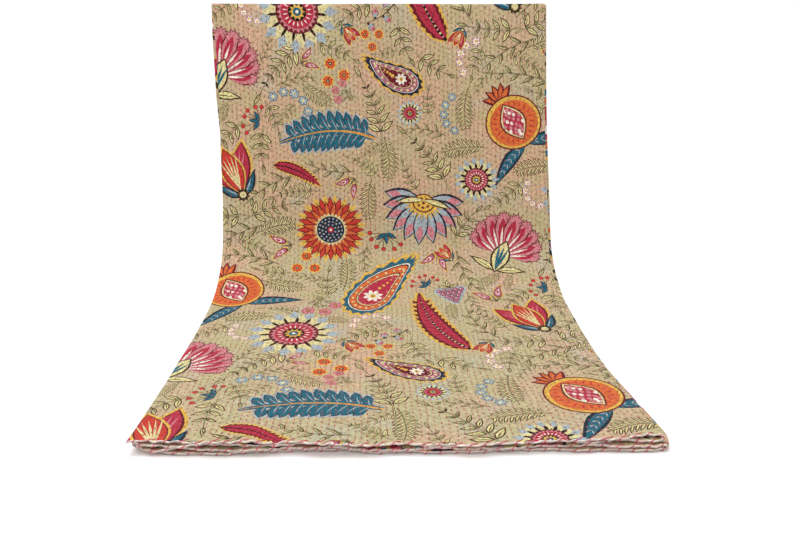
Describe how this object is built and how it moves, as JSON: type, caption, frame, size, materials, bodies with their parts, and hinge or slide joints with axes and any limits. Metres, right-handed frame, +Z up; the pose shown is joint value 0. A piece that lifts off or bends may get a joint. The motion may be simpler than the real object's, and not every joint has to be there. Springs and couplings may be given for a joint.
{
  "type": "kantha quilt",
  "caption": "Cotton kantha quilt folded lengthwise into layers, hanging from its top edge and sweeping forward in a soft bend to lie flat at the front hem.",
  "frame": {"origin": "middle of the underside of the bounding box; z = 0 is the surface that the front part lies on", "axes": "+X across the folded stack, to the right as seen from the front hem; +Y back from the front hem to the hanging stretch; +Z up"},
  "size_m": [0.6118, 0.5926, 0.5116],
  "materials": {
    "quilted_cotton": "printed tan cotton, matte, puckered by rows of running stitch",
    "stitching_thread": "twisted red cotton thread, matte"
  },
  "bodies": {
    "root": {"quilt": "quilted_cotton"}
  },
  "joints": []
}
